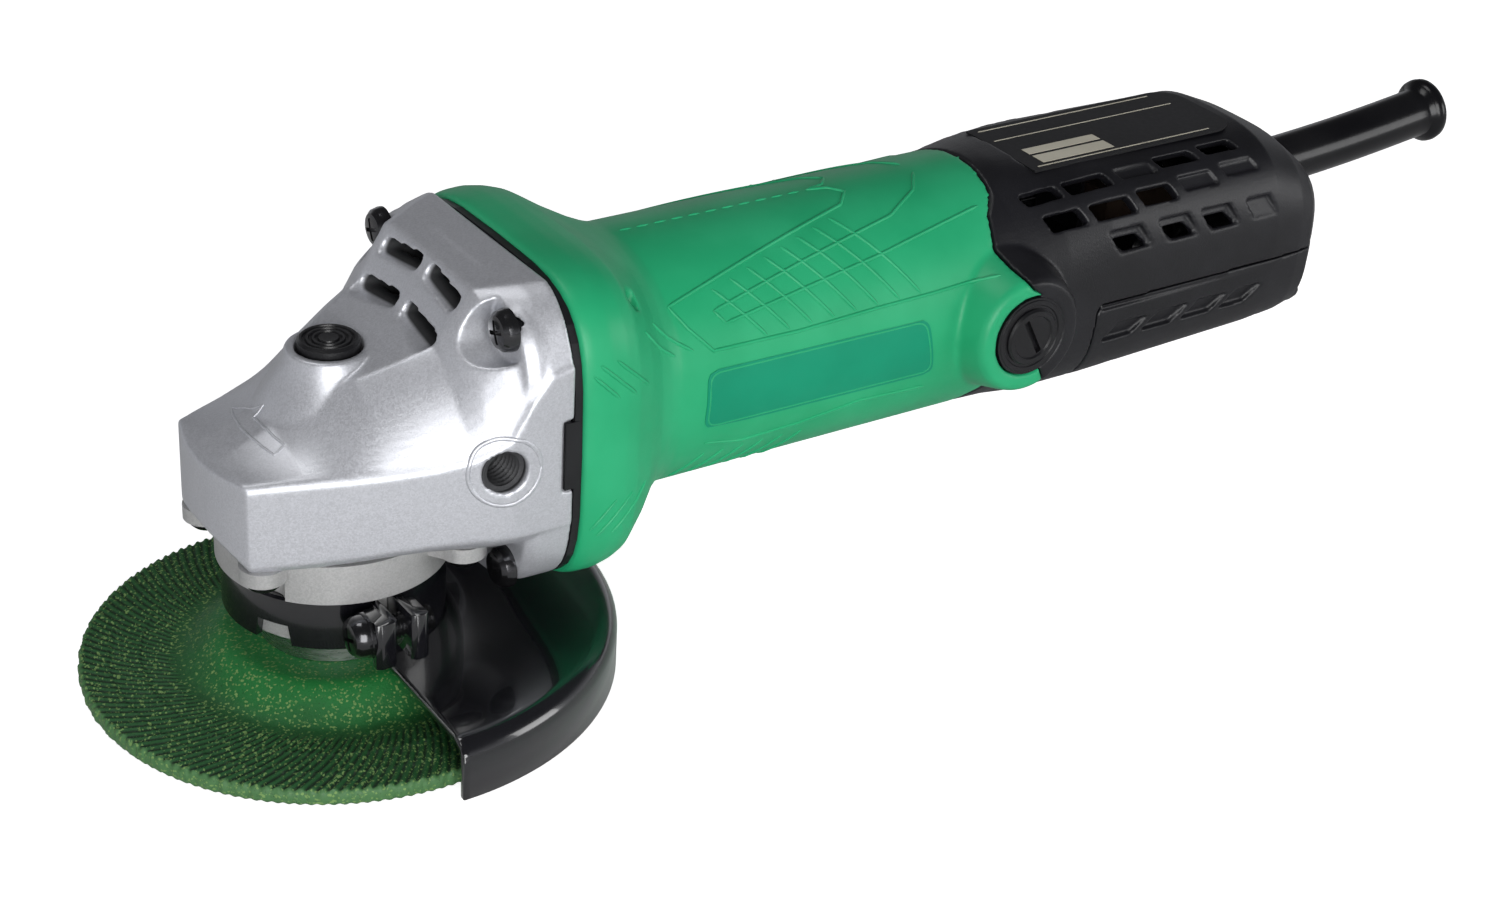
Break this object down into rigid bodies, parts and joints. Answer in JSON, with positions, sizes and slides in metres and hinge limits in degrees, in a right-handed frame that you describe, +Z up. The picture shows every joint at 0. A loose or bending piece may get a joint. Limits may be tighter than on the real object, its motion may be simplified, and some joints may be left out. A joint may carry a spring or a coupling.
{
  "type": "angle grinder",
  "caption": "Small corded angle grinder with wheel guard, bevel gear head, spindle lock, motor and brush gear, side switch and hollow cord guard.",
  "frame": {"origin": "centre of the flat face at the spindle's free lower end", "axes": "+Z up the spindle axis towards the lock button, +X along the motor axis towards the tail and the cord guard, +Y towards the side that carries the switch"},
  "size_m": [0.3394, 0.1116, 0.0869],
  "materials": {
    "case_metal": "bead-blasted die casting, satin",
    "cover_metal": "die casting, satin",
    "green_plastic": "glass-filled nylon, gloss",
    "tail_plastic": "fine-textured nylon",
    "black_plastic": "moulded nylon",
    "pale_plastic": "moulded nylon",
    "button_black": "moulded nylon, semi-gloss",
    "label_green": "printed foil label, left blank",
    "plate_black": "foil plate, left blank",
    "guard_black": "gloss black enamel on pressed steel",
    "screw_black": "black oxide",
    "steel": "ground",
    "plated_steel": "zinc plated",
    "bearing_steel": "ground and polished",
    "gear_steel": "hardened, oiled",
    "core_steel": "stacked electrical sheet",
    "bronze": "sintered bronze",
    "spring_brass": "drawn wire",
    "copper": "turned copper bars",
    "copper_wire": "varnished winding wire",
    "carbon": "pressed carbon",
    "felt": "oiled felt",
    "cord_rubber": "smooth moulded rubber",
    "wheel_green": "bonded abrasive grit with mesh, rough"
  },
  "bodies": {
    "body": {"gear_case": "case_metal", "bearing_cover": "cover_metal", "bearing_cover_screws": "screw_black", "case_screws": "screw_black", "inner_cover": "black_plastic", "spindle_bearing": "bearing_steel", "spindle_bush": "bronze", "dust_seal": "felt", "front_bearing": "bearing_steel", "motor_housing": "green_plastic", "stator_core": "core_steel", "field_coils": "copper_wire", "rear_bearing": "bearing_steel", "brush_holders": "black_plastic", "carbon_brushes": "carbon", "brush_springs": "spring_brass", "brush_caps": "black_plastic", "tail_cover": "tail_plastic", "lower_tail_cover": "tail_plastic", "tail_screws": "screw_black", "switch_body": "black_plastic", "switch_nut": "plated_steel", "terminal_block": "pale_plastic", "cord_clip": "black_plastic", "cord_clip_screws": "plated_steel", "cord_guard": "cord_rubber", "rating_plate": "plate_black", "side_labels": "label_green", "lock_spring": "plated_steel"},
    "spindle": {"spindle": "steel", "bevel_gear": "gear_steel", "gear_clip": "gear_steel", "inner_flange": "steel", "grinding_wheel": "wheel_green", "wheel_bush": "plated_steel", "wheel_nut": "steel"},
    "armature": {"armature_shaft": "steel", "pinion": "gear_steel", "armature_core": "core_steel", "armature_windings": "copper_wire", "commutator": "copper", "fan": "black_plastic"},
    "lock": {"lock_button": "button_black", "lock_pin": "steel"},
    "guard": {"wheel_guard": "guard_black", "guard_collar": "guard_black", "clamp_screw": "screw_black"},
    "lever": {"switch_lever": "plated_steel"}
  },
  "joints": [
    {"name": "spindle_spin", "type": "hinge", "parent": "body", "child": "spindle", "pos_m": [0, 0, 0], "axis": [0, 0, 1], "continuous": true},
    {"name": "armature_spin", "type": "hinge", "parent": "body", "child": "armature", "pos_m": [0, 0, 0.0525], "axis": [1, 0, 0], "continuous": true},
    {"name": "lock_press", "type": "slide", "parent": "body", "child": "lock", "axis": [0, 0, -1], "range_m": [0, 0.004], "stiffness_N_per_m": 1200, "springref_m": -0.003, "deforming": ["lock_spring"]},
    {"name": "guard_turn", "type": "hinge", "parent": "body", "child": "guard", "pos_m": [0, 0, 0], "axis": [0, 0, 1], "range_deg": [-200, 28]},
    {"name": "switch_toggle", "type": "hinge", "parent": "body", "child": "lever", "pos_m": [0.2, 0.022, 0.058], "axis": [1, 0, 0], "range_deg": [0, 26]}
  ],
  "couplings": [
    {"joint": "armature_spin", "follows": "spindle_spin", "ratio": 3.0909}
  ]
}
